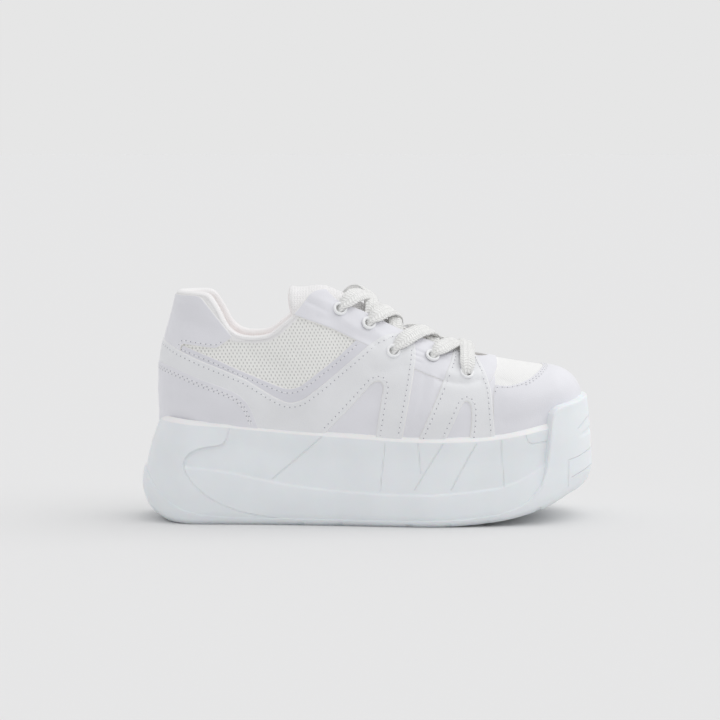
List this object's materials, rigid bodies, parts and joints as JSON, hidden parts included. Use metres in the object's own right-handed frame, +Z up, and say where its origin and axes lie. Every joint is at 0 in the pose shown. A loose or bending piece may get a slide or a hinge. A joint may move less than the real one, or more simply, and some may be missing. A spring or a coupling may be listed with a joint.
{
  "type": "platform sneaker",
  "caption": "Low-cut lace-up sneaker with a mesh upper, sewn-on smooth panels and a thick moulded platform sole.",
  "frame": {"origin": "on the ground, under the middle of the shoe's bounding box", "axes": "+X towards the toe, +Y towards the inner side of this right shoe, +Z up"},
  "size_m": [0.286, 0.1048, 0.1495],
  "materials": {
    "sole_foam": "satin moulded foam, cool white",
    "mesh": "open knitted mesh, warm white",
    "lining": "soft textile",
    "smooth_leather": "smooth coated, pale lavender white",
    "strap_leather": "smooth coated, white",
    "eyelet": "pressed, white",
    "lace": "flat woven cotton"
  },
  "bodies": {
    "root": {"outsole": "sole_foam", "midsole": "sole_foam", "insole": "lining", "upper": "mesh", "tongue": "mesh", "heel_tab": "smooth_leather", "heel_counter": "smooth_leather", "eyestay": "smooth_leather", "toe_cap": "smooth_leather", "side_strap": "strap_leather", "toe_strap_outer": "strap_leather", "quarter_trim_outer": "smooth_leather", "toe_strap_inner": "strap_leather", "quarter_trim_inner": "smooth_leather", "eyelet_outer_1": "eyelet", "eyelet_outer_2": "eyelet", "eyelet_outer_3": "eyelet", "eyelet_outer_4": "eyelet", "eyelet_outer_5": "eyelet", "eyelet_inner_1": "eyelet", "eyelet_inner_2": "eyelet", "eyelet_inner_3": "eyelet", "eyelet_inner_4": "eyelet", "eyelet_inner_5": "eyelet", "lace_crossing_1": "lace", "lace_crossing_2": "lace", "lace_crossing_3": "lace", "lace_crossing_4": "lace", "lace_bar": "lace"}
  },
  "joints": []
}
